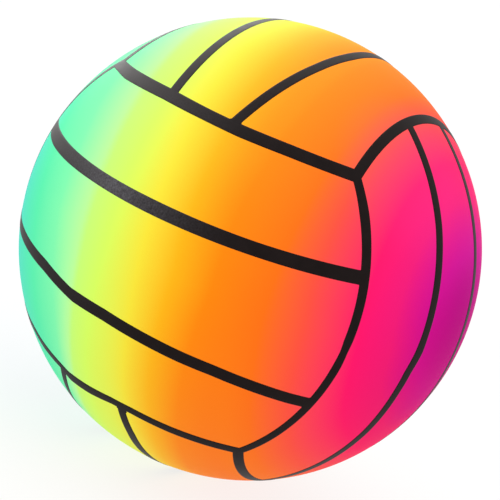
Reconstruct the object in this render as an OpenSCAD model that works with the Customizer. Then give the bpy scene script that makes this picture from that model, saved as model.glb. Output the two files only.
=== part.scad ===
// Inflatable play ball: a moulded vinyl skin, printed panel lines and a stopper valve.
// The origin is the centre of the ball and +Z is up. The valve opens along -X.
//
// The lines divide the ball like a volleyball: six faces of three strips each. The front and
// back strips run along X, the left and right ones along Z, the top and bottom ones along Y,
// and the strips of each face end on the long borders of its neighbours. Every line lies in a
// plane. Three latitudes place it, at the two ends and the middle of its run, so that a line
// can sit a little askew or bowed, as a print on a soft ball does.

/* [Ball] */
// Outside diameter of the inflated skin
ball_d = 216; // [150:1:260]
// Wall thickness of the skin
skin_t = 0.7; // [0.5:0.05:1.2]

/* [Printed lines] */
// Thickness of the ink film, drawn heavier than real ink
ink_t = 0.15; // [0.1:0.01:0.3]
// Gap between the ink film and the skin
ink_gap = 0.05; // [0.02:0.01:0.1]
// Front lines at their left end, degrees towards +Z: lower border, two inner lines, upper border
front_left_lat = [-35, -13.1, 11.9, 35.1]; // [-42:0.1:42]
// Front lines at their middle
front_middle_lat = [-39.9, -16.2, 11.5, 36.1]; // [-42:0.1:42]
// Front lines at their right end
front_right_lat = [-39.9, -17.6, 13.1, 36.2]; // [-42:0.1:42]
// Widths of the front lines, along the skin
front_w = [5, 5.6, 5.9, 5.9]; // [3:0.1:7]
// Right lines at their top end, degrees towards +Y: front border, two inner lines, back border
right_top_lat = [-32.6, -10.3, 8.4, 35]; // [-42:0.1:42]
// Right lines at their middle
right_middle_lat = [-32.5, -10.3, 11.6, 35]; // [-42:0.1:42]
// Right lines at their bottom end
right_bottom_lat = [-31.4, -7.9, 12.4, 35]; // [-42:0.1:42]
// Widths of the right lines
right_w = [4.4, 5, 4.9, 4.8]; // [3:0.1:7]
// Top lines at their back end, degrees towards +X: left border, two inner lines, right border
top_back_lat = [-34.5, -15.5, 9.2, 35.2]; // [-42:0.1:42]
// Top lines at their middle
top_middle_lat = [-33.4, -14.3, 11.8, 32.8]; // [-42:0.1:42]
// Top lines at their front end
top_front_lat = [-35.8, -10.8, 9.9, 36.7]; // [-42:0.1:42]
// Widths of the top lines
top_w = [4.8, 5.1, 4.7, 5]; // [3:0.1:7]
// Bottom lines at their front end, degrees towards +X, in the same order
bottom_front_lat = [-34.5, -13, 7.4, 35]; // [-42:0.1:42]
// Bottom lines at their middle
bottom_middle_lat = [-34, -13, 8.4, 31.5]; // [-42:0.1:42]
// Bottom lines at their back end
bottom_back_lat = [-35, -12, 10, 34.5]; // [-42:0.1:42]
// Widths of the bottom lines
bottom_w = [4.8, 4.8, 5.1, 4.8]; // [3:0.1:7]
// Left lines, level all along, degrees towards +Y: front border, two inner lines, back border
left_lat = [-33.2, -10, 10, 35]; // [-42:0.1:42]
// Widths of the left lines
left_w = [4.8, 4.8, 4.8, 4.8]; // [3:0.1:7]
// Back lines, level all along, degrees towards +Z: lower border, two inner lines, upper border
back_lat = [-35, -11, 11, 35]; // [-42:0.1:42]
// Widths of the back lines
back_w = [4.8, 4.8, 4.8, 4.8]; // [3:0.1:7]

/* [Valve seat] */
// Diameter of the neck that fills the hole in the skin
neck_d = 12.5; // [12:0.1:16]
// Diameter of the flange bonded inside the skin
flange_d = 24; // [18:0.5:32]
// Thickness of the flange at its rim
flange_t = 1.2; // [0.8:0.1:2]
// Outside diameter of the barrel
barrel_d = 9; // [7.5:0.1:11]
// Length of the barrel below the flange
barrel_l = 10; // [8:0.5:16]
// Width of the cone that stiffens the root of the barrel
root_w = 2; // [1:0.1:3]
// Bore of the valve
bore_d = 4.8; // [4:0.1:6]
// Depth of the pocket for the head of the stopper, below the skin
pocket_h = 1.8; // [1.4:0.1:2]
// Bevel round the mouth of the pocket, for a fingernail
mouth_bevel = 0.6; // [0.2:0.1:0.8]
// Bond line between the seat and the skin
bond_gap = 0.05; // [0.02:0.01:0.1]

/* [Stopper] */
// Diameter of the head
head_d = 9; // [7:0.1:10]
// Gap between the head and the wall of its pocket
head_gap = 0.3; // [0.1:0.05:0.4]
// Gap between the head and the floor of its pocket
floor_gap = 0.05; // [0.02:0.01:0.1]
// How far the head lies below the skin
head_sink = 0.2; // [0.1:0.05:0.4]
// Bevel under the rim of the head
head_bevel = 0.4; // [0.2:0.1:0.6]
// Diameter of the stem between its beads
stem_d = 3.8; // [3:0.1:4]
// Number of sealing beads on the stem
bead_n = 3; // [1:1:4]
// Radius of a bead's round section
bead_r = 0.7; // [0.6:0.05:0.9]
// Gap between the beads and the bore
bead_gap = 0.05; // [0.02:0.01:0.1]
// How far the tip stands out of the barrel
tip_proud = 2.5; // [1:0.5:4]
// Length of the tip's taper
tip_l = 2; // [1:0.5:3]
// Diameter of the tip's end
tip_d = 2.4; // [1.5:0.1:3]

/* [Hidden] */
$fn = 240;
// Length by which cuts run past the faces they open
past = 1;
ball_r = ball_d / 2;
// Size of a box that reaches past the ball from its middle
reach = ball_r + ink_gap + ink_t + past;

// Each face in its own frame, strips along X, stacked along Y and seen from +Z: the turn to
// its place, its latitudes at the -X end, the middle and the +X end, the widths of its lines,
// and the borders that its strips end on at -X and +X, each as a face's place in this list and
// the number of its line
FACES = [
    [[90, 0, 0], [front_left_lat, front_middle_lat, front_right_lat], front_w, [2, 0], [3, 0]],
    [[90, 0, 180], [back_lat, back_lat, back_lat], back_w, [3, 3], [2, 3]],
    [[0, -90, 0], [left_lat, left_lat, left_lat], left_w, [5, 0], [4, 0]],
    [[0, 90, 0], [right_top_lat, right_middle_lat, right_bottom_lat], right_w, [4, 3], [5, 3]],
    [[0, 0, -90], [top_back_lat, top_middle_lat, top_front_lat], top_w, [1, 3], [0, 3]],
    [[180, 0, 90], [bottom_front_lat, bottom_middle_lat, bottom_back_lat], bottom_w, [0, 0], [1, 0]]
];
FRONT = FACES[0];
BACK = FACES[1];
LEFT = FACES[2];
RIGHT = FACES[3];
TOP = FACES[4];
BOTTOM = FACES[5];
// How far round its face from the middle a line's ends are given
end_angle = 40;

// Heights along the valve's axis, from the centre of the ball
valve_turn = [0, -90, 0];
flange_r = ball_r - skin_t - bond_gap;
flange_floor = sqrt(pow(flange_r, 2) - pow(flange_d / 2, 2)) - flange_t;
barrel_end = flange_floor - barrel_l;
pocket_floor = ball_r - pocket_h;
pocket_d = head_d + 2 * head_gap;
hole_d = neck_d + 2 * bond_gap;
head_floor = pocket_floor + floor_gap;
stem_end = barrel_end - tip_proud;
bead_ring_r = bore_d / 2 - bead_gap - bead_r;
bead_pitch = (head_floor - barrel_end) / (bead_n + 1);

// Place of a latitude on the unit ball, in a face's frame, at an angle round from its middle
function place(lat, turn) = [cos(lat) * sin(turn), sin(lat), cos(lat) * cos(turn)];

// Normal of the plane through a line's three places
function line_normal(face, i) =
    let (from = place(face[1][0][i], -end_angle))
    let (over = place(face[1][1][i], 0))
    let (to = place(face[1][2][i], end_angle))
    let (across = cross(over - from, to - from))
    across / norm(across);

// Height of one edge of a line along its normal: side is -1 below the line and 1 above it
function edge_height(face, i, side) =
    let (middle = asin(line_normal(face, i) * place(face[1][1][i], 0)))
    ball_r * sin(middle + side * face[2][i] / ball_d * 180 / PI);

// Round bar of the valve, from one height to another, that may taper
module bar(from, to, d1, d2) {
    translate([0, 0, from]) cylinder(d1 = d1, d2 = d2, h = to - from);
}

// Thin spherical shell that holds all the ink
module ink_shell() {
    difference() {
        sphere(r = ball_r + ink_gap + ink_t);
        sphere(r = ball_r + ink_gap);
    }
}

// Slab of space between two heights along a line's normal
module slab(face, i, low, high) {
    normal = line_normal(face, i);
    rotate(face[0]) rotate([0, acos(normal.z), atan2(normal.y, normal.x)])
        translate([-reach, -reach, low]) cube([2 * reach, 2 * reach, high - low]);
}

// All the space above, or below, a line of a face
module above(face, i) {
    slab(face, i, edge_height(face, i, 1), 2 * reach);
}
module below(face, i) {
    slab(face, i, -2 * reach, edge_height(face, i, -1));
}

// Space outside the face that a border belongs to
module outside(border) {
    if (border[1] == 0) below(FACES[border[0]], 0);
    else above(FACES[border[0]], 3);
}

// Space over a face between the two borders that its strips end on
module between_ends(face) {
    intersection() {
        outside(face[3]);
        rotate(face[0]) translate([-reach, -reach, 0]) cube([reach, 2 * reach, reach]);
    }
    intersection() {
        outside(face[4]);
        rotate(face[0]) translate([0, -reach, 0]) cube([reach, 2 * reach, reach]);
    }
}

// The two lines that part one face into three strips
module strip_lines(face) {
    color("#231c1e") intersection() {
        ink_shell();
        between_ends(face);
        for (i = [1, 2]) slab(face, i, edge_height(face, i, -1), edge_height(face, i, 1));
    }
}

// The twelve lines between the faces, joined at the corners into one net
module face_border_lines() {
    color("#231c1e") difference() {
        ink_shell();
        for (face = FACES) intersection() {
            above(face, 0);
            below(face, 3);
            between_ends(face);
        }
    }
}

// Hollow vinyl ball with the hole for the valve
module ball_skin() {
    color("#fdcf31") difference() {
        sphere(r = ball_r);
        sphere(r = ball_r - skin_t);
        rotate(valve_turn) cylinder(d = hole_d, h = reach);
    }
}

// Soft sleeve whose neck lies flush in the skin and whose flange is bonded inside it
module valve_seat() {
    color("#f2f0ea") rotate(valve_turn) difference() {
        union() {
            intersection() {
                sphere(r = ball_r);
                bar(flange_floor, reach, neck_d, neck_d);
            }
            intersection() {
                sphere(r = flange_r);
                bar(flange_floor, reach, flange_d, flange_d);
            }
            bar(flange_floor - root_w, flange_floor, barrel_d, barrel_d + 2 * root_w);
            bar(barrel_end, flange_floor, barrel_d, barrel_d);
        }
        bar(barrel_end - past, reach, bore_d, bore_d);
        bar(pocket_floor, reach, pocket_d, pocket_d);
        bar(ball_r - mouth_bevel, ball_r, pocket_d, pocket_d + 2 * mouth_bevel);
    }
}

// Push-in stopper: a head that follows the ball's curve, and a beaded stem
module valve_stopper() {
    color("#ffffff") rotate(valve_turn) {
        intersection() {
            sphere(r = ball_r - head_sink);
            union() {
                bar(head_floor, head_floor + head_bevel, head_d - 2 * head_bevel, head_d);
                bar(head_floor + head_bevel, reach, head_d, head_d);
            }
        }
        bar(stem_end + tip_l, head_floor, stem_d, stem_d);
        bar(stem_end, stem_end + tip_l, tip_d, stem_d);
        for (i = [1 : bead_n]) {
            translate([0, 0, barrel_end + i * bead_pitch])
                rotate_extrude() translate([bead_ring_r, 0]) circle(r = bead_r);
        }
    }
}

ball_skin();
face_border_lines();
strip_lines(FRONT);  // front_strip_lines
strip_lines(BACK);  // back_strip_lines
strip_lines(LEFT);  // left_strip_lines
strip_lines(RIGHT);  // right_strip_lines
strip_lines(TOP);  // top_strip_lines
strip_lines(BOTTOM);  // bottom_strip_lines
valve_seat();
valve_stopper();
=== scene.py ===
"""Inflatable play ball: a sprayed vinyl skin, printed panel lines and a stopper valve.

Everything is in metres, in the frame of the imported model: the origin is the centre of the
ball, +Z is up and the valve opens along -X.
"""

import math

import bmesh
import bpy
import numpy as np
from mathutils import Matrix, Vector


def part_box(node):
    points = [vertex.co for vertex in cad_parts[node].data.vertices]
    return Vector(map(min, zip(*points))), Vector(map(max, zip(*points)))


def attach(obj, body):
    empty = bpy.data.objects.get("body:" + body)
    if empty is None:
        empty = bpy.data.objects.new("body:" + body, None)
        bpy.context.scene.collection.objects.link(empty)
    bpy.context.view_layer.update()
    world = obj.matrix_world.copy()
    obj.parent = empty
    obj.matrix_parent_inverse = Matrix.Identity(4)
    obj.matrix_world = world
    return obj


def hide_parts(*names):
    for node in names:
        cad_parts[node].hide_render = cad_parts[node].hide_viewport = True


bl_info = {
    "name": "Play ball",
    "version": (1, 0, 0),
    "blender": (4, 5, 0),
    "location": "View3D > Sidebar > Play ball",
    "description": "Builds an inflatable vinyl play ball with printed panel lines and a valve",
    "category": "Add Mesh",
}

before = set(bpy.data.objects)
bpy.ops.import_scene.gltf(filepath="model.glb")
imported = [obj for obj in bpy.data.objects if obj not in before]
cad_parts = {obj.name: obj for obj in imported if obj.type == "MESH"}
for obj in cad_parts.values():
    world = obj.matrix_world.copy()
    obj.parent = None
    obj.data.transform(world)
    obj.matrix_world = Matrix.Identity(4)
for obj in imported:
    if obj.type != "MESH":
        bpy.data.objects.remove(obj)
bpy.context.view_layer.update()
BALL_RADIUS = max(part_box("ball_skin")[1])

# The six faces of the print: where their strips run, where they are stacked, and outwards.
FACES = {
    "front": np.array([(1, 0, 0), (0, 0, 1), (0, -1, 0)], float),
    "back": np.array([(-1, 0, 0), (0, 0, 1), (0, 1, 0)], float),
    "left": np.array([(0, 0, 1), (0, 1, 0), (-1, 0, 0)], float),
    "right": np.array([(0, 0, -1), (0, 1, 0), (1, 0, 0)], float),
    "top": np.array([(0, -1, 0), (1, 0, 0), (0, 0, 1)], float),
    "bottom": np.array([(0, 1, 0), (1, 0, 0), (0, 0, -1)], float),
}
LOWER_BORDER = 0
INNER_LINES = (1, 2)
UPPER_BORDER = 3
# How far round its face from the middle the ends of a line are given.
END_TURN = math.radians(40)
# Where the print of a line is pulled out of place, thin or heavy: knots of the turn and the
# shift, in degrees, and the share of the width. A border keeps its place and width at its ends.
PULLS = {
    ("front", 0): (
        (-28, 0, 1), (-22, -0.85, 1.05), (-12, -1.4, 0.87), (-8, -2.4, 1.18), (-4, -2, 1.2),
        (0, -1.5, 1.18), (8, 0.1, 0.98), (14, 0.5, 0.95), (26, 0.1, 1), (36, 0, 1),
    ),
    ("front", 1): (
        (-42, 0.2, 0.98), (-21, 0.3, 1.02), (-9.5, -0.72, 0.97), (-8, -0.7, 1.05), (2, -0.05, 1.02),
        (22, 0, 1.01), (31, 0.2, 0.98), (39, 0, 0.98), (50, -0.3, 0.98),
    ),
    ("front", 2): (
        (-40, 0, 1.15), (-15, 0.05, 1.04), (5, 0.1, 1.07), (30, 0.05, 1.02), (45, 0.05, 1.04),
    ),
    ("front", 3): (
        (-40, 0, 1), (-32, -0.17, 1.12), (-12, 0.25, 1.08), (2, 0, 1.02), (14, -0.2, 1.04),
        (28, 0, 1.01), (40, 0, 1),
    ),
    ("right", 0): (
        (-40, 0, 1), (-34, 0, 1.1), (-12, 0, 1.03), (0, -0.07, 1), (3, 0, 0.84), (7, 0.07, 0.95),
        (30, 0, 0.94), (40, 0, 1),
    ),
    ("right", 1): (
        (-54, -0.6, 1), (-41, 0, 1), (-30, 0.36, 1), (-5, 0.24, 1), (0, 0.22, 1.14),
        (5, -0.55, 1.06), (11, -0.56, 1), (24, -0.1, 1), (45, -0.2, 1.1),
    ),
    ("top", 0): ((0, 0, 1), (26, -0.5, 1.2), (36, -0.25, 1.15), (41, 0, 1)),
    ("top", 2): (
        (-50, -0.6, 1), (-20, -1.8, 1), (-8, -1.65, 1.06), (-2, -1.2, 1.06), (4, -0.67, 1.06),
        (12, -0.1, 1.05), (24, 0.16, 1), (40, 0, 1),
    ),
    ("bottom", 1): ((-47, 0.3, 0.85), (-41, -0.35, 0.8), (-34, -1.1, 0.8), (25, 0, 1)),
    ("bottom", 2): ((-47, -0.3, 0.84), (-38, 0.25, 0.94), (-20, 0, 1.1), (0, 0, 1)),
}
STRAIGHT = ((0, 0, 1),)
# Depth of the ink as a share of its height over the skin: it reaches a little into the skin.
FILM_DEPTH = 1.3
# Height of the inner lines, as a share of that of the borders that they run under.
STRIP_HEIGHT = 0.9
# Power by which the ink stays flat in the middle of a line and turns down at its rims.
RIM_POWER = 8
# How finely the surfaces are drawn.
SKIN_SEGMENTS = 256
SKIN_RINGS_OUTSIDE = 161
SKIN_RINGS_INSIDE = 97
SEAT_SEGMENTS = 128
STOPPER_SEGMENTS = 96
HEAD_RINGS = 12
STEM_RINGS = 160
CORNER_STEPS = 6
BORDER_ROWS = 97
STRIP_ROWS = 161
FILM_COLUMNS = 13
PATCH_RINGS = 9
# How far the bands of the spray lean: knots of the place along its axis, as a share of the radius,
# and the shift along the axis per height over the middle of the ball, or per depth under it.
LEAN_ABOVE = (
    (-1, 0), (-0.7, 0.2), (-0.5, 0.07), (-0.3, 0.04), (-0.19, 0.02), (-0.06, 0.05), (0.1, 0.05),
    (0.22, 0.03), (0.36, -0.05), (0.44, -0.05), (0.58, 0.02), (0.7, 0.06), (0.85, 0.05), (1, 0),
)
LEAN_BELOW = (
    (-1, 0), (-0.7, -0.2), (-0.44, -0.24), (-0.19, 0.02), (-0.06, -0.03), (0.06, 0.04), (0.3, 0.13),
    (0.46, 0), (0.7, 0.04), (0.85, 0.05), (1, 0.02),
)


def linear(hex_colour):
    """Linear RGB of an sRGB hex value, by the sRGB transfer curve."""
    srgb = np.array([int(hex_colour[i : i + 2], 16) for i in (1, 3, 5)]) / 255
    return tuple(np.where(srgb > 0.04045, ((srgb + 0.055) / 1.055) ** 2.4, srgb / 12.92))


def latitudes(name, description, *degrees):
    """Property for the four lines of a face: one border, two inner lines, the other border."""
    return bpy.props.FloatVectorProperty(
        name=name,
        description=description,
        size=4,
        default=[math.radians(angle) for angle in degrees],
        unit="ROTATION",
    )


def length(name, description, millimetres):
    """Property for a length."""
    return bpy.props.FloatProperty(
        name=name,
        description=description,
        default=millimetres / 1000,
        unit="LENGTH",
    )


def widths(name, description, *millimetres):
    """Property for the widths of the four lines of a face, along the skin."""
    return bpy.props.FloatVectorProperty(
        name=name,
        description=description,
        size=4,
        default=[width / 1000 for width in millimetres],
        unit="LENGTH",
    )


def light_level(name, description, default):
    """Property for a level of light, 1 being that at which colours look as they are written."""
    return bpy.props.FloatProperty(name=name, description=description, default=default, min=0.0)


def colour(name, description, hex_colour):
    """Property for a colour that is written as an sRGB hex value."""
    return bpy.props.FloatVectorProperty(
        name=name,
        description=description,
        default=linear(hex_colour),
        subtype="COLOR",
        min=0.0,
        max=1.0,
    )


class SkinSettings(bpy.types.PropertyGroup):
    """Sizes of the moulded skin."""

    wall: length("Wall", "Thickness of the vinyl skin", 0.7)
    hole_radius: length("Hole radius", "Radius of the hole that the valve seat is fused into", 6.3)
    hole_round: length("Hole rounding", "Rounding of the two edges of the hole", 0.1)


class PrintSettings(bpy.types.PropertyGroup):
    """Places and sizes of the printed lines."""

    film: length("Film", "Height of the ink over the skin, drawn heavier than real ink", 0.15)
    fillet: length("Fillet", "Radius that the ink runs to where a line meets a border", 0.5)
    tuck: length("Tuck", "How far an inner line runs under a border", 1.2)
    front_left: latitudes("Front, left", "Front lines, left end", -35, -13.1, 11.9, 35.1)
    front_middle: latitudes("Front, middle", "Front lines, middle", -39.9, -16.2, 11.5, 36.1)
    front_right: latitudes("Front, right", "Front lines, right end", -39.9, -17.6, 13.1, 36.2)
    front_width: widths("Front widths", "Widths of the front lines", 5, 5.6, 5.9, 5.9)
    right_top: latitudes("Right, top", "Right lines, top end", -32.6, -10.3, 8.4, 35)
    right_middle: latitudes("Right, middle", "Right lines, middle", -32.5, -10.3, 11.6, 35)
    right_bottom: latitudes("Right, bottom", "Right lines, bottom end", -31.4, -7.9, 12.4, 35)
    right_width: widths("Right widths", "Widths of the right lines", 4.4, 5, 4.9, 4.8)
    top_back: latitudes("Top, back", "Top lines, back end", -34.5, -15.5, 9.2, 35.2)
    top_middle: latitudes("Top, middle", "Top lines, middle", -33.4, -14.3, 11.8, 32.8)
    top_front: latitudes("Top, front", "Top lines, front end", -35.8, -10.8, 9.9, 36.7)
    top_width: widths("Top widths", "Widths of the top lines", 4.8, 5.1, 4.7, 5)
    bottom_front: latitudes("Bottom, front", "Bottom lines, front end", -34.5, -13, 7.4, 35)
    bottom_middle: latitudes("Bottom, middle", "Bottom lines, middle", -34, -13, 8.4, 31.5)
    bottom_back: latitudes("Bottom, back", "Bottom lines, back end", -35, -12, 10, 34.5)
    bottom_width: widths("Bottom widths", "Widths of the bottom lines", 4.8, 4.8, 5.1, 4.8)
    left_level: latitudes("Left", "Left lines, level all along", -33.2, -10, 10, 35)
    left_width: widths("Left widths", "Widths of the left lines", 4.8, 4.8, 4.8, 4.8)
    back_level: latitudes("Back", "Back lines, level all along", -35, -11, 11, 35)
    back_width: widths("Back widths", "Widths of the back lines", 4.8, 4.8, 4.8, 4.8)


class ColourSettings(bpy.types.PropertyGroup):
    """Colours of the spray, the ink and the valve."""

    sky: colour("Sky", "Spray at the valve", "#2FA8F0")
    turquoise: colour("Turquoise", "Spray between the sky blue and the sea green", "#54E6C6")
    sea: colour("Sea green", "Spray on the far left", "#5CF2B0")
    mint: colour("Mint", "Spray left of the lime", "#82FAB0")
    pistachio: colour("Pistachio", "Pale green of the spray", "#AFFFA6")
    lime: colour("Lime", "Spray where the yellow coat begins", "#BDFF9C")
    chartreuse: colour("Chartreuse", "Edge of the yellow coat", "#C9FF78")
    lemon: colour("Lemon", "Greenish yellow of the spray", "#D8FF62")
    yellow: colour("Yellow", "Middle of the spray", "#F8E53B")
    amber: colour("Amber", "Spray between yellow and orange", "#FEB61A")
    orange: colour("Orange", "Spray right of the middle", "#FF8810")
    tangerine: colour("Tangerine", "Reddish orange of the spray", "#FF7218")
    coral: colour("Coral", "Spray between orange and pink", "#FE5240")
    pink: colour("Pink", "Hot pink of the spray", "#FC176A")
    magenta: colour("Magenta", "Spray before the far right", "#EE1A77")
    orchid: colour("Orchid", "Spray round the violet", "#CC0A94")
    violet: colour("Violet", "Spray on the far right", "#B6008B")
    glaze: colour("Glaze", "Clear last coat that warms the violet", "#FFFFDE")
    # Painted sheen: the lilac is mixed in at the upper right as a pale veil that stands for the
    # gloss of the light from above.
    sheen_lilac: colour("Lilac", "Mist over the coral and the pink at the upper right", "#FF52C2")
    ink: colour("Ink", "Black of the printed lines", "#120C0C")
    seat: colour("Valve seat", "Natural white of the soft vinyl", "#E2DED2")
    stopper: colour("Stopper", "White of the polyethylene", "#E4E4E0")
    floor: colour("Floor", "Matt white of the floor", "#F2F2F1")


class ValveSettings(bpy.types.PropertyGroup):
    """Sizes of the valve, measured along its axis and round it."""

    neck_radius: length(
        "Neck radius", "Radius of the seat where it fills the hole in the skin", 6.25
    )
    flange_radius: length("Flange radius", "Radius of the flange bonded inside the skin", 12)
    flange_thickness: length("Flange thickness", "Thickness of the flange at its rim", 1.2)
    barrel_radius: length("Barrel radius", "Outside radius of the barrel", 4.5)
    barrel_length: length("Barrel length", "Length of the barrel below the flange", 10)
    root_width: length("Root width", "Width of the cone that stiffens the root of the barrel", 2)
    bore_radius: length("Bore radius", "Radius of the bore", 2.4)
    pocket_depth: length(
        "Pocket depth", "Depth of the pocket for the head of the stopper, below the skin", 1.8
    )
    mouth_bevel: length(
        "Mouth bevel", "Bevel round the mouth of the pocket, for a fingernail", 0.6
    )
    head_radius: length("Head radius", "Radius of the head of the stopper", 4.5)
    head_gap: length("Head gap", "Gap between the head and the wall of its pocket", 0.3)
    head_sink: length("Head sink", "How far the head lies below the skin", 0.2)
    head_bevel: length("Head bevel", "Bevel under the rim of the head", 0.4)
    stem_radius: length("Stem radius", "Radius of the stem between its beads", 1.9)
    bead_count: bpy.props.IntProperty(
        name="Beads",
        description="Number of sealing beads on the stem",
        default=3,
    )
    bead_radius: length("Bead radius", "Radius of a bead's round section", 0.7)
    tip_proud: length("Tip stands out", "How far the tip stands out of the barrel", 2.5)
    tip_length: length("Tip length", "Length of the tip's taper", 2)
    tip_radius: length("Tip radius", "Radius of the tip's end", 1.2)
    fit: length("Fit", "Gap at the bond line, under the head and round the beads", 0.05)


class StageSettings(bpy.types.PropertyGroup):
    """Camera and light."""

    distance: length("Distance", "Distance of the camera from the middle of the ball", 864)
    lens: bpy.props.FloatProperty(
        name="Lens",
        description="Focal length of the camera in millimetres",
        default=132.4,
        unit="CAMERA",
    )
    offset: bpy.props.FloatVectorProperty(
        name="Offset",
        description="How far to the right of the ball's middle and above it the camera looks",
        size=2,
        default=(-0.00017, -0.00047),
        unit="LENGTH",
    )
    sky_light: light_level("Surroundings", "Level of the white surroundings", 1.1)
    top_light: light_level(
        "Light from above", "Level that the soft light from above adds on a level surface", 0.11
    )
    gloss_light: light_level(
        "Gloss", "Level of the soft light at the upper left that shows only in the gloss", 2.4
    )
    table_light: light_level("Light from below", "Level of the lit table under the ball", 0.93)


class PlayBallSettings(bpy.types.PropertyGroup):
    """Everything that a user may change."""

    skin: bpy.props.PointerProperty(type=SkinSettings)
    print_lines: bpy.props.PointerProperty(type=PrintSettings)
    valve: bpy.props.PointerProperty(type=ValveSettings)
    colours: bpy.props.PointerProperty(type=ColourSettings)
    stage: bpy.props.PointerProperty(type=StageSettings)


def grid_quads(rows, columns, wrap_rows=False, wrap_columns=False):
    """Quads between neighbouring points of a grid, joined round where it wraps."""
    index = np.arange(rows * columns).reshape(rows, columns)
    if wrap_rows:
        index = np.concatenate([index, index[:1]], axis=0)
    if wrap_columns:
        index = np.concatenate([index, index[:, :1]], axis=1)
    corners = [index[:-1, :-1], index[1:, :-1], index[1:, 1:], index[:-1, 1:]]
    return np.stack(corners, axis=-1).reshape(-1, 4)


def make_piece(name, points, faces, material, body, replaced):
    """Mesh object of one piece, smooth, that rides on a body and stands for a CAD node."""
    mesh = bpy.data.meshes.new(name)
    mesh.from_pydata(points.tolist(), [], [face for part in faces for face in part.tolist()])
    mesh.validate()
    mesh.shade_smooth()
    mesh.materials.append(material)
    piece = bpy.data.objects.new(name, mesh)
    bpy.context.scene.collection.objects.link(piece)
    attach(piece, body)
    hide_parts(replaced)
    return piece


def rounded(corners):
    """Profile with its corners rounded.

    A corner is a height, a radius and a cut. It gives way to a parabola that starts and ends at
    the cut's distance along its two sides: (1-s)^2 start + 2s(1-s) corner + s^2 end.
    """
    corners, cuts = np.split(np.array(corners, float), [2], axis=1)
    before = np.roll(corners, 1, axis=0) - corners
    after = np.roll(corners, -1, axis=0) - corners
    start = corners + before / np.linalg.norm(before, axis=1, keepdims=True) * cuts
    end = corners + after / np.linalg.norm(after, axis=1, keepdims=True) * cuts
    s = np.linspace(0, 1, CORNER_STEPS)[None, :, None]
    bends = (1 - s) ** 2 * start[:, None] + 2 * s * (1 - s) * corners[:, None] + s**2 * end[:, None]
    return bends.reshape(-1, 2)


def turned_about_valve(profile, segments):
    """Points of a profile of (height, radius) turned round the valve's axis, -X.

    A point is (-height, radius cos a, -radius sin a), a going once round, one row per
    profile point.
    """
    angle = np.linspace(0, 2 * math.pi, segments, endpoint=False)
    height, radius = (profile[:, i, None] for i in (0, 1))
    flat = np.broadcast_to(-height, (len(profile), segments))
    return np.stack([flat, radius * np.cos(angle), -radius * np.sin(angle)], axis=-1)


def lathe(profile, segments):
    """Closed lathe shape from a profile that starts and ends on the axis: points and faces."""
    rings = turned_about_valve(profile[1:-1], segments)
    count = len(rings) * segments
    poles = np.array([(-profile[0, 0], 0, 0), (-profile[-1, 0], 0, 0)])
    points = np.concatenate([rings.reshape(-1, 3), poles])
    first = np.arange(segments)
    following = (first + 1) % segments
    last = count - segments
    start_cap = np.stack([following, first, np.full(segments, count)], axis=-1)
    end_cap = np.stack([last + first, last + following, np.full(segments, count + 1)], axis=-1)
    sides = grid_quads(len(rings), segments, wrap_columns=True)[:, ::-1]
    return points, [sides, start_cap, end_cap]


def seat_heights(settings):
    """Radius of the bond line, and the heights of the flange's rim and floor and the barrel's end.

    The flange follows the inside of the skin, so its rim is at the root of bond^2 - flange^2.
    """
    valve = settings.valve
    bond = BALL_RADIUS - settings.skin.wall - valve.fit
    rim = math.sqrt(bond**2 - valve.flange_radius**2)
    floor = rim - valve.flange_thickness
    return bond, rim, floor, floor - valve.barrel_length


def station_latitudes(settings, face):
    """Latitudes of the four lines of a face at the start, the middle and the end of the run."""
    level = {"left": settings.left_level, "back": settings.back_level}
    ends = {
        "front": ("front_left", "front_middle", "front_right"),
        "right": ("right_top", "right_middle", "right_bottom"),
        "top": ("top_back", "top_middle", "top_front"),
        "bottom": ("bottom_front", "bottom_middle", "bottom_back"),
    }
    if face in level:
        return np.array([level[face]] * 3)
    return np.array([getattr(settings, name) for name in ends[face]])


def line_plane(settings, face, line):
    """Unit normal of a line's plane, and the latitude of the line about that normal.

    The plane goes through three places on the unit ball: cos(lat) (sin t run + cos t out) +
    sin(lat) stack, with t the turn from the middle of the face.
    """
    run, stack, out = FACES[face]
    lat = station_latitudes(settings, face)[:, line, None]
    turn = np.array([-END_TURN, 0, END_TURN])[:, None]
    places = np.cos(lat) * (np.sin(turn) * run + np.cos(turn) * out) + np.sin(lat) * stack
    normal = np.cross(places[1] - places[0], places[2] - places[0])
    normal /= np.linalg.norm(normal)
    return normal, math.asin(normal @ places[1])


def line_axes(face, normal):
    """Axes of a line's own frame: outwards at its middle, along its run, and its normal."""
    out = FACES[face][2] - (FACES[face][2] @ normal) * normal
    out /= np.linalg.norm(out)
    return np.array([out, np.cross(normal, out), normal])


def half_angle(settings, face, line):
    """Half the width of a line, as an angle at the centre of the ball."""
    return getattr(settings, face + "_width")[line] / 2 / BALL_RADIUS


def on_line(axes, turn, lat, height):
    """Points over the ball at a turn and a latitude of a line's own frame."""
    turn, lat, height = (np.asarray(value)[..., None] for value in (turn, lat, height))
    place = np.cos(lat) * (np.cos(turn) * axes[0] + np.sin(turn) * axes[1]) + np.sin(lat) * axes[2]
    return (BALL_RADIUS + height) * place


def meeting_turn(axes, lat, normal, level, side):
    """Turn at which a circle of latitude crosses a plane, on one side of the line's middle.

    The plane normal.p = level cuts the circle where A cos t + B sin t = C, which gives
    t = atan2(B, A) +- acos(C / hypot(A, B)).
    """
    a = np.cos(lat) * (axes[0] @ normal)
    b = np.cos(lat) * (axes[1] @ normal)
    c = level - np.sin(lat) * (axes[2] @ normal)
    swing = np.arccos(np.clip(c / np.hypot(a, b), -1, 1))
    turns = np.stack([np.arctan2(b, a) + swing, np.arctan2(b, a) - swing])
    turns = side * ((turns + math.pi) % (2 * math.pi) - math.pi)
    return side * np.where(turns > 0, turns, math.inf).min(axis=0)


def face_towards(direction):
    """Name of the face that looks in a direction."""
    return max(FACES, key=lambda name: FACES[name][2] @ direction)


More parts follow.
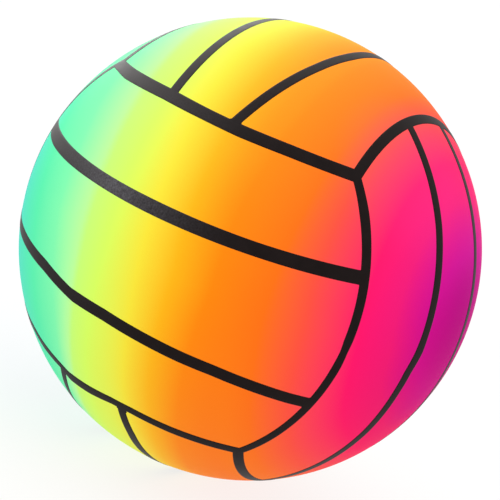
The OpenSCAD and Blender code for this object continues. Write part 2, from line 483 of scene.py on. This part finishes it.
def border_edge(settings, face, towards, outward):
    """Plane of one edge of the border that a face has towards a direction: its normal and level.

    The level is the sine of the border's latitude, moved by half its width. Outward is 1 for the
    edge away from the middle of the face, and -1 for the edge next to it.
    """
    upper = FACES[face][1] @ towards > 0
    line = UPPER_BORDER if upper else LOWER_BORDER
    normal, lat = line_plane(settings, face, line)
    side = outward if upper else -outward
    return normal, math.sin(lat + side * half_angle(settings, face, line))


def film_section():
    """Places across a line, from -1 to 1, close together at its edges, and the film's height.

    The height follows the root of 1 - u^n, n being the power of the rim.
    """
    across = np.sin(np.linspace(-1, 1, FILM_COLUMNS) * math.pi / 2)
    return across, np.sqrt(1 - across**RIM_POWER)


def line_level(settings, face, line, lat, across, turn):
    """Latitudes over a line's grid: its own latitude and its width, with the pulls of the print.

    From one knot to the next the shift and the share of the width change evenly with the turn.
    """
    turns, shifts, shares = np.array(PULLS.get((face, line), STRAIGHT), float).T
    degrees = np.degrees(turn)
    shift = np.radians(np.interp(degrees, turns, shifts))
    share = np.interp(degrees, turns, shares)
    return lat + shift + across * share * half_angle(settings, face, line)


def border_band(settings, face, line):
    """Grid of one border from corner to corner, one row per place along it.

    At each end its edge on the side of its own face meets the border of the next face, and its
    other edge meets a border of the face beyond.
    """
    run, stack, out = FACES[face]
    normal, lat = line_plane(settings, face, line)
    axes = line_axes(face, normal)
    half = half_angle(settings, face, line)
    # Side of the line on which its own face lies.
    own = -1 if line == UPPER_BORDER else 1
    beyond = face_towards(-own * stack)
    ends = []
    for side in (-1, 1):
        next_border = border_edge(settings, face_towards(side * run), out, 1)
        beyond_border = border_edge(settings, beyond, side * run, -1)
        inner = meeting_turn(axes, lat + own * half, *next_border, side)
        outer = meeting_turn(axes, lat - own * half, *beyond_border, side)
        ends.append((inner, outer))
    across, rise = film_section()
    share = (1 - own * across) / 2
    start, end = (inner * (1 - share) + outer * share for inner, outer in ends)
    along = np.linspace(0, 1, BORDER_ROWS)[:, None]
    turn = start * (1 - along) + end * along
    level = line_level(settings, face, line, lat, across, turn)
    return on_line(axes, turn, level, settings.film * rise)


def corner_patch(settings, rim):
    """Grid that closes the gap between the ends of three borders, from its rim to its middle.

    A ring lies a share f of the way from the middle to the rim. Its height keeps a share f^n of
    what the rim lacks of the film's full height, n being the power of the rim.
    """
    share = np.sin(np.linspace(1, 0, PATCH_RINGS) * math.pi / 2)[:, None, None]
    distance = np.linalg.norm(rim, axis=1, keepdims=True)
    middle = rim.mean(axis=0)
    place = share * rim + (1 - share) * middle
    full = BALL_RADIUS + settings.film
    height = full - share**RIM_POWER * (full - distance)
    return place / np.linalg.norm(place, axis=2, keepdims=True) * height


def strip_band(settings, face, line):
    """Grid of one inner line, from under one border to under the other.

    Near a border the half width grows by r - sqrt(r^2 - (r - d)^2), d being the distance to
    the border and r the fillet.
    """
    run, _, out = FACES[face]
    normal, lat = line_plane(settings, face, line)
    axes = line_axes(face, normal)
    half = half_angle(settings, face, line)
    across, rise = film_section()
    ends = []
    for side in (-1, 1):
        next_border = border_edge(settings, face_towards(side * run), out, 1)
        ends.append(meeting_turn(axes, lat + across * half, *next_border, side))
    start, end = ends
    tuck = settings.tuck / BALL_RADIUS
    along = (1 - np.cos(np.linspace(0, math.pi, STRIP_ROWS)))[:, None] / 2
    turn = (start - tuck) * (1 - along) + (end + tuck) * along
    distance = np.minimum(turn - start, end - turn) * BALL_RADIUS * math.cos(lat)
    missing = np.clip(settings.fillet - distance, 0, settings.fillet)
    flare = settings.fillet - np.sqrt(settings.fillet**2 - missing**2)
    level = line_level(settings, face, line, lat, across, turn) + across * flare / BALL_RADIUS
    return on_line(axes, turn, level, STRIP_HEIGHT * settings.film * rise)


def film_piece(settings, name, points, faces, material, replaced):
    """Piece of ink: the sheet's doubles are merged and a Solidify sinks it into the skin."""
    thickness = FILM_DEPTH * settings.film
    piece = make_piece(name, points, faces, material, "ball", replaced)
    sheet = bmesh.new()
    sheet.from_mesh(piece.data)
    bmesh.ops.remove_doubles(sheet, verts=sheet.verts, dist=thickness / 100)
    sheet.to_mesh(piece.data)
    sheet.free()
    solidify = piece.modifiers.new("Film", "SOLIDIFY")
    solidify.thickness = thickness
    solidify.offset = -1


def add_node(tree, kind, inputs=None, **settings):
    """Adds a node: settings are its own values, and an input is a value, a socket or a node.

    A node that is given as an input is linked by the first of its outputs that is in use.
    """
    node = tree.nodes.new(kind)
    for name, value in settings.items():
        setattr(node, name, value)
    for name, value in (inputs or {}).items():
        if isinstance(value, bpy.types.Node):
            value = next(socket for socket in value.outputs if socket.enabled)
        if isinstance(value, bpy.types.NodeSocket):
            tree.links.new(value, node.inputs[name])
        else:
            node.inputs[name].default_value = value
    return node


def new_material(name):
    """Empty material, its node tree, and the socket of the place on a piece."""
    material = bpy.data.materials.new(name)
    material.use_nodes = True
    tree = material.node_tree
    tree.nodes.clear()
    return material, tree, add_node(tree, "ShaderNodeTexCoord").outputs["Object"]


def specks(tree, place, spacing, rarest, size):
    """Node that is 1 on round specks.

    They lie about a spacing apart. Only those whose random number is over rarest show, from
    nothing up to a radius of size times the spacing.
    """
    cells = add_node(tree, "ShaderNodeTexVoronoi", {"Vector": place, "Scale": 1 / spacing})
    radius = add_node(
        tree,
        "ShaderNodeMapRange",
        {"Value": cells.outputs["Color"], "From Min": rarest, "To Max": size},
    )
    return add_node(tree, "ShaderNodeMath", {0: cells, 1: radius}, operation="LESS_THAN")


def sprayed_vinyl(colours):
    """Rotationally moulded PVC, sprayed with fluorescent lacquer in a rainbow fade.

    The eye sees clean colours that melt into each other round one axis, their bands shifted with
    the height, a nearly matt lacquer with a fine orange peel, and a few specks of dust.
    """
    material, tree, place = new_material("Sprayed vinyl")
    # The ball turned before the gun about an axis a few degrees off the valve's. The place along
    # it, as a share of the radius, gives the colour.
    axis = Vector((0.989, 0.104, 0.103)) / BALL_RADIUS
    along = add_node(tree, "ShaderNodeVectorMath", {0: place, 1: axis}, operation="DOT_PRODUCT")
    # Over and under the middle of the ball each band is shifted by a share of the height Z, which a
    # curve over the place along the axis gives.
    upwards = add_node(tree, "ShaderNodeSeparateXYZ", {"Vector": place}).outputs["Z"]
    start = add_node(tree, "ShaderNodeMapRange", {"Value": along, "From Min": -1.0})
    shifted = along
    for pole, knots in ((BALL_RADIUS, LEAN_ABOVE), (-BALL_RADIUS, LEAN_BELOW)):
        curve = add_node(tree, "ShaderNodeFloatCurve", {"Value": start})
        points = curve.mapping.curves[0].points
        for level, lean in knots[1:-1]:
            points.new((level + 1) / 2, (lean + 1) / 2)
        for point, (level, lean) in zip(points, knots):
            point.location = ((level + 1) / 2, (lean + 1) / 2)
            point.handle_type = "AUTO_CLAMPED"
        curve.mapping.update()
        slant = add_node(tree, "ShaderNodeMapRange", {"Value": curve, "To Min": -1.0})
        reach = add_node(tree, "ShaderNodeMapRange", {"Value": upwards, "From Max": pole})
        terms = {0: slant, 1: reach, 2: shifted}
        shifted = add_node(tree, "ShaderNodeMath", terms, operation="MULTIPLY_ADD")
    # Passes of the gun overlap unevenly over about 50 mm.
    drift = add_node(
        tree, "ShaderNodeTexNoise", {"Vector": place, "Scale": 1 / 0.05, "Detail": 1.0}
    )
    drift_reach = 0.03
    # Droplets of about 0.2 mm grade one colour into the next; drawn at 0.7 mm so that they show.
    mist = add_node(
        tree, "ShaderNodeTexNoise", {"Vector": place, "Scale": 1 / 0.0007, "Detail": 2.0}
    )
    mist_reach = 0.016
    for noise, reach in ((drift, drift_reach), (mist, mist_reach)):
        terms = {0: noise, 1: reach, 2: shifted}
        shifted = add_node(tree, "ShaderNodeMath", terms, operation="MULTIPLY_ADD")
    middle = (drift_reach + mist_reach) / 2
    share = add_node(
        tree,
        "ShaderNodeMapRange",
        {"Value": shifted, "From Min": middle - 1, "From Max": middle + 1},
    )
    stops = (
        (-1.0, colours.sky),
        (-0.82, colours.turquoise),
        (-0.64, colours.sea),
        (-0.48, colours.mint),
        (-0.37, colours.pistachio),
        (-0.325, colours.lime),
        (-0.285, colours.chartreuse),
        (-0.18, colours.lemon),
        (0.0, colours.yellow),
        (0.15, colours.amber),
        (0.3, colours.orange),
        (0.5, colours.tangerine),
        (0.64, colours.coral),
        (0.805, colours.pink),
        (0.89, colours.magenta),
        (0.96, colours.orchid),
        (1.0, colours.violet),
    )
    ramp = add_node(tree, "ShaderNodeValToRGB", {"Fac": share})
    elements = ramp.color_ramp.elements
    while len(elements) < len(stops):
        elements.new(0.5)
    for element, (level, shade) in zip(elements, stops):
        element.position = (level + 1) / 2
        element.color = (*shade, 1)
    # Two thin layers are laid last, each from its own side: a clear coat from lower down that warms
    # the violet, and a mist of lilac from higher up, which is painted sheen: a pale veil over the
    # coral and the pink at the upper right that stands for the gloss of the light from above. For
    # each: its axis, the places along it where the layer begins and is full, its cover there, its
    # colour and how it is laid.
    coats_and_sheen = (
        ((0.974, 0.134, -0.183), 0.75, 1.02, 1.0, colours.glaze, "MULTIPLY"),
        # Painted sheen of lilac at the upper right.
        ((0.705, -0.271, 0.656), 0.92, 1.0, 0.055, colours.sheen_lilac, "MIX"),
    )
    coated_and_sheened = ramp
    for towards, edge, core, cover, shade, blend in coats_and_sheen:
        places = {0: place, 1: Vector(towards) / BALL_RADIUS}
        reach = add_node(tree, "ShaderNodeVectorMath", places, operation="DOT_PRODUCT")
        thickness = add_node(
            tree,
            "ShaderNodeMapRange",
            {"Value": reach, "From Min": edge, "From Max": core, "To Max": cover},
            interpolation_type="SMOOTHSTEP",
        )
        coat = {"Factor": thickness, "A": coated_and_sheened, "B": (*shade, 1)}
        coated_and_sheened = add_node(tree, "ShaderNodeMix", coat, data_type="RGBA", blend_type=blend)
    # Specks of dust of about half a millimetre, a few to a face.
    dust = specks(tree, place, spacing=0.012, rarest=0.9, size=0.03)
    specked = {"Factor": dust, "A": coated_and_sheened, "B": (*linear("#59453F"), 1)}
    dusted = add_node(tree, "ShaderNodeMix", specked, data_type="RGBA")
    # Painted sheen: towards the top and the bottom up to 2.5 % and 4 % of the white of the vinyl is
    # mixed in, a pale veil that stands for the light reflected there. The share grows with the
    # square of the height.
    height = add_node(tree, "ShaderNodeMath", {0: upwards, 1: BALL_RADIUS}, operation="DIVIDE")
    squared = add_node(tree, "ShaderNodeMath", {0: height, 1: 2.0}, operation="POWER")
    sheen_most = add_node(
        tree,
        "ShaderNodeMapRange",
        {"Value": height, "From Min": -1.0, "To Min": 0.04, "To Max": 0.025},
    )
    # Share of white of the painted sheen.
    bare = add_node(tree, "ShaderNodeMath", {0: squared, 1: sheen_most}, operation="MULTIPLY")
    sheen_paled = {"Factor": bare, "A": dusted, "B": (*colours.seat, 1)}
    lacquer = add_node(tree, "ShaderNodeMix", sheen_paled, data_type="RGBA")
    # Orange peel of the lacquer, about 1.5 mm from crest to crest.
    peel = add_node(
        tree, "ShaderNodeTexNoise", {"Vector": place, "Scale": 1 / 0.0015, "Detail": 1.0}
    )
    bump = add_node(tree, "ShaderNodeBump", {"Height": peel, "Strength": 0.15, "Distance": 0.00005})
    satin = add_node(tree, "ShaderNodeMapRange", {"Value": drift, "To Min": 0.5, "To Max": 0.6})
    shader = add_node(
        tree,
        "ShaderNodeBsdfPrincipled",
        {
            "Base Color": lacquer,
            "Roughness": satin,
            "Normal": bump,
            "IOR": 1.5,
            "Specular IOR Level": 0.01,
        },
    )
    add_node(tree, "ShaderNodeOutputMaterial", {"Surface": shader})
    return material


def printed_ink(colours):
    """Black vinyl ink, printed from a soft pad onto the skin.

    The eye sees a flat near-black whose dull sheen greys on the side of the light, small
    differences in cover, a few pinholes where the pad left the skin bare, and one grey patch of
    painted sheen.
    """
    material, tree, place = new_material("Printed ink")
    # Cover changes over about 6 mm as the pad's pressure does.
    cover = add_node(
        tree, "ShaderNodeTexNoise", {"Vector": place, "Scale": 1 / 0.006, "Detail": 3.0}
    )
    cloudy = {"Factor": cover, "A": (*colours.ink, 1), "B": (*linear("#201817"), 1)}
    worn = add_node(tree, "ShaderNodeMix", cloudy, data_type="RGBA")
    # The film keeps the grain of the pad, about 0.5 mm; drawn at 0.8 mm so that it shows.
    grain = add_node(
        tree, "ShaderNodeTexNoise", {"Vector": place, "Scale": 1 / 0.0008, "Detail": 1.0}
    )
    # Painted sheen: the upper inner line of the front is painted grey over about 70 mm, in that
    # grain, a painted highlight of the light glancing off the ink there.
    painted_sheen_place = BALL_RADIUS * Vector((-0.153, -0.967, 0.203))
    away = add_node(tree, "ShaderNodeVectorMath", {0: place, 1: painted_sheen_place}, operation="DISTANCE")
    near = add_node(tree, "ShaderNodeMapRange", {"Value": away, "From Min": 0.07, "From Max": 0.0})
    sheen_falloff = add_node(tree, "ShaderNodeMath", {0: near, 1: 2.0}, operation="POWER")
    painted_sheen = add_node(tree, "ShaderNodeMath", {0: sheen_falloff, 1: grain}, operation="MULTIPLY")
    painted_sheen_mix = {"Factor": painted_sheen, "A": worn, "B": (*linear("#6C6A6F"), 1)}
    sheen_painted_ink = add_node(tree, "ShaderNodeMix", painted_sheen_mix, data_type="RGBA")
    # Pinholes of about 0.4 mm, one to every few centimetres of line.
    pinholes = specks(tree, place, spacing=0.009, rarest=0.8, size=0.04)
    pierced = {"Factor": pinholes, "A": sheen_painted_ink, "B": (*linear("#D8D2C0"), 1)}
    printed = add_node(tree, "ShaderNodeMix", pierced, data_type="RGBA")
    bump = add_node(tree, "ShaderNodeBump", {"Height": grain, "Strength": 0.2, "Distance": 0.00003})
    dull = add_node(tree, "ShaderNodeMapRange", {"Value": cover, "To Min": 0.42, "To Max": 0.58})
    shader = add_node(
        tree,
        "ShaderNodeBsdfPrincipled",
        {
            "Base Color": printed,
            "Roughness": dull,
            "Normal": bump,
            "IOR": 1.5,
            "Specular IOR Level": 0.05,
            "Sheen Weight": 0.08,
            "Sheen Roughness": 0.35,
        },
    )
    add_node(tree, "ShaderNodeOutputMaterial", {"Surface": shader})
    return material


def soft_valve_vinyl(colours):
    """Soft injection-moulded PVC in its natural white, with overspray round its edge.

    The eye sees a warm white, slightly waxy, with a breath of the blue spray where the seat
    meets the skin.
    """
    material, tree, place = new_material("Soft valve vinyl")
    # Distance from the axis of the valve, X.
    flat = add_node(tree, "ShaderNodeVectorMath", {0: place, 1: (0, 1, 1)}, operation="MULTIPLY")
    radius = add_node(tree, "ShaderNodeVectorMath", {0: flat}, operation="LENGTH")
    # Clouding of the soft vinyl, about 0.8 mm.
    cloud = add_node(
        tree, "ShaderNodeTexNoise", {"Vector": place, "Scale": 1 / 0.0008, "Detail": 3.0}
    )
    # The overspray starts 5.6 mm from the middle and covers 85 % from 7.2 mm on. Its edge is
    # ragged by up to 1.5 mm.
    terms = {0: cloud, 1: 0.0015, 2: radius}
    ragged = add_node(tree, "ShaderNodeMath", terms, operation="MULTIPLY_ADD")
    spray = add_node(
        tree,
        "ShaderNodeMapRange",
        {"Value": ragged, "From Min": 0.0056, "From Max": 0.0072, "To Max": 0.85},
    )
    # Only the face that lies in the skin was in reach of the spray, to a depth of 0.5 mm.
    outside = add_node(tree, "ShaderNodeSeparateXYZ", {"Vector": place}).outputs["X"]
    limits = {0: outside, 1: 0.0005 - BALL_RADIUS}
    reached = add_node(tree, "ShaderNodeMath", limits, operation="LESS_THAN")
    sprayed = add_node(tree, "ShaderNodeMath", {0: spray, 1: reached}, operation="MULTIPLY")
    tint = {"Factor": sprayed, "A": (*colours.seat, 1), "B": (*colours.sky, 1)}
    tinted = add_node(tree, "ShaderNodeMix", tint, data_type="RGBA")
    bump = add_node(tree, "ShaderNodeBump", {"Height": cloud, "Strength": 0.2, "Distance": 0.00003})
    waxy = add_node(tree, "ShaderNodeMapRange", {"Value": cloud, "To Min": 0.42, "To Max": 0.56})
    shader = add_node(
        tree,
        "ShaderNodeBsdfPrincipled",
        {"Base Color": tinted, "Roughness": waxy, "Normal": bump, "IOR": 1.52},
    )
    add_node(tree, "ShaderNodeOutputMaterial", {"Surface": shader})
    return material


def moulded_polyethylene(colours):
    """Injection-moulded polyethylene, white.

    The eye sees a cool white with a soft gloss and the fine spark-eroded texture of the mould.
    """
    material, tree, place = new_material("Moulded polyethylene")
    # Texture of the mould, about 0.15 mm; drawn at 0.3 mm so that it shows.
    grain = add_node(
        tree, "ShaderNodeTexNoise", {"Vector": place, "Scale": 1 / 0.0003, "Detail": 2.0}
    )
    milky = {"Factor": grain, "A": (*colours.stopper, 1), "B": (*linear("#DADBDA"), 1)}
    shade = add_node(tree, "ShaderNodeMix", milky, data_type="RGBA")
    bump = add_node(
        tree, "ShaderNodeBump", {"Height": grain, "Strength": 0.15, "Distance": 0.00002}
    )
    gloss = add_node(tree, "ShaderNodeMapRange", {"Value": grain, "To Min": 0.3, "To Max": 0.42})
    shader = add_node(
        tree,
        "ShaderNodeBsdfPrincipled",
        {"Base Color": shade, "Roughness": gloss, "Normal": bump, "IOR": 1.51},
    )
    add_node(tree, "ShaderNodeOutputMaterial", {"Surface": shader})
    return material


def seen_directly(tree):
    """Node that is 1 for what looks straight at a surface, in a mirror or through glass."""
    path = add_node(tree, "ShaderNodeLightPath")
    seen = path.outputs["Is Camera Ray"]
    for kind in ("Is Glossy Ray", "Is Transmission Ray"):
        both = {0: seen, 1: path.outputs[kind]}
        seen = add_node(tree, "ShaderNodeMath", both, operation="MAXIMUM")
    return seen


def matt_paper(colours, level):
    """Matt white backdrop paper: no sheen, with a faint tooth of about 2 mm."""
    material, tree, place = new_material("Matt paper")
    tooth = add_node(tree, "ShaderNodeTexNoise", {"Vector": place, "Scale": 1 / 0.002})
    whites = {"Factor": tooth, "A": (*colours.floor, 1), "B": (*linear("#F6F6F6"), 1)}
    shade = add_node(tree, "ShaderNodeMix", whites, data_type="RGBA")
    shader = add_node(
        tree,
        "ShaderNodeBsdfPrincipled",
        {"Base Color": shade, "Roughness": 0.9, "Specular IOR Level": 0.1},
    )
    # The shadow is seen pale, under four fifths of plain white.
    white_share = 0.8
    white = add_node(tree, "ShaderNodeEmission", {"Color": (1, 1, 1, 1), "Strength": 1.0})
    paled = add_node(tree, "ShaderNodeMixShader", {0: white_share, 1: shader, 2: white})
    # To the ball it is a lit table, so the underside gets the same light all over.
    glow = add_node(tree, "ShaderNodeEmission", {"Color": (1, 1, 1, 1), "Strength": level})
    lit = add_node(tree, "ShaderNodeMixShader", {0: seen_directly(tree), 1: glow, 2: paled})
    add_node(tree, "ShaderNodeOutputMaterial", {"Surface": lit})
    return material


class PLAYBALL_OT_skin(bpy.types.Operator):
    """Builds the hollow skin with the hole for the valve"""

    bl_idname = "play_ball.skin"
    bl_label = "Skin"

    def execute(self, context):
        settings = context.scene.play_ball.skin
        hole = settings.hole_radius
        rounding = settings.hole_round
        inner = BALL_RADIUS - settings.wall
        # Arcs about the middle, from the far pole to the hole outside and back again inside.
        edge = hole + rounding
        outward = np.linspace(math.pi, math.asin(edge / BALL_RADIUS), SKIN_RINGS_OUTSIDE)
        back = np.linspace(math.asin(edge / inner), math.pi, SKIN_RINGS_INSIDE)
        outside = BALL_RADIUS * np.stack([np.cos(outward), np.sin(outward)], axis=-1)
        inside = inner * np.stack([np.cos(back), np.sin(back)], axis=-1)
        wall = [(outside[-1, 0] - rounding, hole), (inside[0, 0] + rounding, hole)]
        profile = np.concatenate([outside, wall, inside])
        # Both ends lie on the axis.
        profile[[0, -1], 1] = 0
        points, faces = lathe(profile, SKIN_SEGMENTS)
        material = sprayed_vinyl(context.scene.play_ball.colours)
        make_piece("skin", points, faces, material, "ball", "ball_skin")
        return {"FINISHED"}


class PLAYBALL_OT_border_lines(bpy.types.Operator):
    """Builds the net of lines between the faces"""

    bl_idname = "play_ball.border_lines"
    bl_label = "Border lines"

    def execute(self, context):
        settings = context.scene.play_ball.print_lines
        points = []
        faces = []
        count = 0
        ends = []
        for face in FACES:
            for line in (LOWER_BORDER, UPPER_BORDER):
                band = border_band(settings, face, line)
                rows, columns = band.shape[:2]
                faces.append(grid_quads(rows, columns) + count)
                points.append(band.reshape(-1, 3))
                ends.append(band[0])
                ends.append(band[-1, ::-1])
                count += rows * columns
        # A patch closes each of the eight corners, over the ends of the three bands that meet.
        middles = np.array([end[len(end) // 2] for end in ends])
        for corner in np.array(np.meshgrid(*[(-1, 1)] * 3)).reshape(3, -1).T:
            rims = [ends[i] for i in np.argsort(-(middles @ corner))[:3]]
            joined = [rims[0]]
            for _ in range(2):
                tail = joined[-1][-1]
                gaps = [np.linalg.norm(rim[0] - tail) for rim in rims]
                joined.append(rims[int(np.argmin(gaps))])
            rim = np.concatenate([part[:-1] for part in joined])
            patch = corner_patch(settings, rim)
            rings, columns = patch.shape[:2]
            points.append(patch.reshape(-1, 3))
            faces.append(grid_quads(rings, columns, wrap_columns=True)[:, ::-1] + count)
            count += rings * columns
        material = printed_ink(context.scene.play_ball.colours)
        points = np.concatenate(points)
        film_piece(settings, "border_lines", points, faces, material, "face_border_lines")
        return {"FINISHED"}


class PLAYBALL_OT_strip_lines(bpy.types.Operator):
    """Builds the two lines that part each face into three strips"""

    bl_idname = "play_ball.strip_lines"
    bl_label = "Strip lines"

    def execute(self, context):
        settings = context.scene.play_ball.print_lines
        material = bpy.data.materials["Printed ink"]
        for face in FACES:
            bands = [strip_band(settings, face, line) for line in INNER_LINES]
            rows, columns = bands[0].shape[:2]
            quads = grid_quads(rows, columns)
            points = np.concatenate([band.reshape(-1, 3) for band in bands])
            faces = [quads, quads + rows * columns]
            film_piece(settings, face + "_lines", points, faces, material, face + "_strip_lines")
        return {"FINISHED"}


class PLAYBALL_OT_valve_seat(bpy.types.Operator):
    """Builds the soft sleeve that is fused into the skin"""

    bl_idname = "play_ball.valve_seat"
    bl_label = "Valve seat"

    def execute(self, context):
        settings = context.scene.play_ball
        valve = settings.valve
        bond, rim, floor, barrel_end = seat_heights(settings)
        root = valve.barrel_radius + valve.root_width
        pocket = valve.head_radius + valve.head_gap
        pocket_floor = BALL_RADIUS - valve.pocket_depth
        mouth = pocket + valve.mouth_bevel
        # Height, radius and cut of each corner, from the bore round the outside to the pocket.
        corners = [
            (barrel_end, valve.bore_radius, 0.0003),
            (barrel_end, valve.barrel_radius, 0.0003),
            (floor - valve.root_width, valve.barrel_radius, 0.0005),
            (floor, root, 0.0003),
            (floor, valve.flange_radius, 0.0004),
            (rim, valve.flange_radius, 0.0003),
            (math.sqrt(bond**2 - valve.neck_radius**2), valve.neck_radius, 0.00005),
            (math.sqrt(BALL_RADIUS**2 - valve.neck_radius**2), valve.neck_radius, 0.00006),
            (math.sqrt(BALL_RADIUS**2 - mouth**2), mouth, 0.00015),
            (BALL_RADIUS - valve.mouth_bevel, pocket, 0.0002),
            (pocket_floor, pocket, 0.0002),
            (pocket_floor, valve.bore_radius, 0.0003),
        ]
        rings = turned_about_valve(rounded(corners), SEAT_SEGMENTS)
        rows, columns = rings.shape[:2]
        faces = [grid_quads(rows, columns, wrap_rows=True, wrap_columns=True)[:, ::-1]]
        points = rings.reshape(-1, 3)
        material = soft_valve_vinyl(settings.colours)
        make_piece("seat", points, faces, material, "ball", "valve_seat")
        return {"FINISHED"}


class PLAYBALL_OT_stopper(bpy.types.Operator):
    """Builds the push-in stopper with its beaded stem"""

    bl_idname = "play_ball.stopper"
    bl_label = "Stopper"

    def execute(self, context):
        settings = context.scene.play_ball
        valve = settings.valve
        barrel_end = seat_heights(settings)[-1]
        head_floor = BALL_RADIUS - valve.pocket_depth + valve.fit
        crown = BALL_RADIUS - valve.head_sink
        tip = barrel_end - valve.tip_proud
        # The crown and the stem stop this far from the edges that are rounded.
        clear = 0.0003
        # Crown of the head, on a sphere about the ball's middle.
        reach = np.linspace(0, valve.head_radius - clear, HEAD_RINGS)
        head = np.stack([np.sqrt(crown**2 - reach**2), reach], axis=-1)
        # Edges of the head, between a place on the crown and one down the stem.
        corners = [
            (*head[-2], 0),
            (math.sqrt(crown**2 - valve.head_radius**2), valve.head_radius, 0.00025),
            (head_floor + valve.head_bevel, valve.head_radius, 0.00015),
            (head_floor, valve.head_radius - valve.head_bevel, 0.00015),
            (head_floor, valve.stem_radius, 0.0002),
            (tip, valve.stem_radius, 0),
        ]
        rim = rounded(corners)[CORNER_STEPS:-CORNER_STEPS]
        # Stem whose radius is the larger of its own and that of a round bead's section.
        height = np.linspace(head_floor - clear, tip + valve.tip_length, STEM_RINGS)
        pitch = (head_floor - barrel_end) / (valve.bead_count + 1)
        number = np.clip(np.round((height - barrel_end) / pitch), 1, valve.bead_count)
        away = np.abs(height - barrel_end - pitch * number)
        ring = valve.bore_radius - valve.fit - valve.bead_radius
        bead = ring + np.sqrt(np.clip(valve.bead_radius**2 - away**2, 0, None))
        swell = np.where(away < valve.bead_radius, bead, 0)
        stem = np.stack([height, np.maximum(swell, valve.stem_radius)], axis=-1)
        # Edge of the tip, and the middle of its end.
        corners = [(*stem[-1], 0), (tip, valve.tip_radius, 0.0004), (tip, 0, 0)]
        end = rounded(corners)[CORNER_STEPS : 2 * CORNER_STEPS + 1]
        profile = np.concatenate([head, rim, stem, end])
        points, faces = lathe(profile[::-1], STOPPER_SEGMENTS)
        material = moulded_polyethylene(settings.colours)
        make_piece(
            "stopper", points, faces, material, "stopper", "valve_stopper"
        )
        return {"FINISHED"}


class PLAYBALL_OT_stage(bpy.types.Operator):
    """Builds the floor, the light and the camera"""

    bl_idname = "play_ball.stage"
    bl_label = "Stage"

    def execute(self, context):
        settings = context.scene.play_ball.stage
        scene = context.scene
        scene.view_settings.view_transform = "Standard"

        # Floor: a square of 40 m at the height where the ball rests.
        reach = 20
        corners = [(-reach, -reach), (reach, -reach), (reach, reach), (-reach, reach)]
        mesh = bpy.data.meshes.new("floor")
        mesh.from_pydata([(*corner, -BALL_RADIUS) for corner in corners], [], [(0, 1, 2, 3)])
        mesh.materials.append(matt_paper(scene.play_ball.colours, settings.table_light))
        floor = bpy.data.objects.new("floor", mesh)
        scene.collection.objects.link(floor)

        # White surroundings: they light the ball, and what looks at them directly or in a
        # reflection sees plain white.
        world = bpy.data.worlds.new("Surroundings")
        world.use_nodes = True
        tree = world.node_tree
        tree.nodes.clear()
        light, white = (
            add_node(tree, "ShaderNodeBackground", {"Color": (1, 1, 1, 1), "Strength": level})
            for level in (settings.sky_light, 1.0)
        )
        mixed = add_node(tree, "ShaderNodeMixShader", {0: seen_directly(tree), 1: light, 2: white})
        add_node(tree, "ShaderNodeOutputWorld", {"Surface": mixed})
        scene.world = world

        # Very wide suns stand in for large soft lights: one overhead, and one at the upper left
        # that shows only in the gloss and greys the ink on that side. For each: its name, its
        # level, its width in degrees, where it stands and whether it lights a matt surface.
        suns = (
            ("overhead", settings.top_light, 80, (0, 0, 1), True),
            ("gloss", settings.gloss_light, 90, (-0.85, 0.1, 0.5), False),
        )
        for name, level, width, towards, lights_matt in suns:
            lamp = bpy.data.lights.new(name, "SUN")
            lamp.energy = level * math.pi
            lamp.angle = math.radians(width)
            sun = bpy.data.objects.new(name, lamp)
            sun.rotation_euler = Vector(towards).to_track_quat("Z", "Y").to_euler()
            sun.visible_diffuse = lights_matt
            scene.collection.objects.link(sun)

        # Camera: its axes to the right, up and back, as seen on the ball.
        right = Vector((0.78, 0.509, 0.364)).normalized()
        back = Vector((0.463, -0.861, 0.212))
        back = (back - back.dot(right) * right).normalized()
        up = back.cross(right)
        lens = bpy.data.cameras.new("camera")
        lens.lens = settings.lens
        lens.sensor_width = 36
        camera = bpy.data.objects.new("camera", lens)
        scene.collection.objects.link(camera)
        turn = Matrix((right, up, back)).transposed().to_4x4()
        place = back * settings.distance + right * settings.offset[0] + up * settings.offset[1]
        camera.matrix_world = Matrix.Translation(place) @ turn
        scene.camera = camera
        return {"FINISHED"}


OPERATORS = (
    PLAYBALL_OT_skin,
    PLAYBALL_OT_border_lines,
    PLAYBALL_OT_strip_lines,
    PLAYBALL_OT_valve_seat,
    PLAYBALL_OT_stopper,
    PLAYBALL_OT_stage,
)


class PLAYBALL_PT_panel(bpy.types.Panel):
    """Settings of the ball, and the pieces that can be built from them"""

    bl_label = "Play ball"
    bl_idname = "PLAYBALL_PT_panel"
    bl_space_type = "VIEW_3D"
    bl_region_type = "UI"
    bl_category = "Play ball"

    def draw(self, context):
        settings = context.scene.play_ball
        for name in ("skin", "print_lines", "valve", "colours", "stage"):
            box = self.layout.box()
            group = getattr(settings, name)
            for key in group.__annotations__:
                box.prop(group, key)
        for operator in OPERATORS:
            self.layout.operator(operator.bl_idname)


CLASSES = (
    SkinSettings,
    PrintSettings,
    ColourSettings,
    ValveSettings,
    StageSettings,
    PlayBallSettings,
    *OPERATORS,
    PLAYBALL_PT_panel,
)


def register():
    """Registers the classes and hangs the settings on the scene."""
    for cls in CLASSES:
        bpy.utils.register_class(cls)
    bpy.types.Scene.play_ball = bpy.props.PointerProperty(type=PlayBallSettings)


def unregister():
    """Takes the settings and the classes away again."""
    del bpy.types.Scene.play_ball
    for cls in reversed(CLASSES):
        bpy.utils.unregister_class(cls)


def main():
    """Builds every piece and the stage."""
    register()
    bpy.ops.play_ball.skin()
    bpy.ops.play_ball.border_lines()
    bpy.ops.play_ball.strip_lines()
    bpy.ops.play_ball.valve_seat()
    bpy.ops.play_ball.stopper()
    bpy.ops.play_ball.stage()


if __name__ == "__main__":
    main()
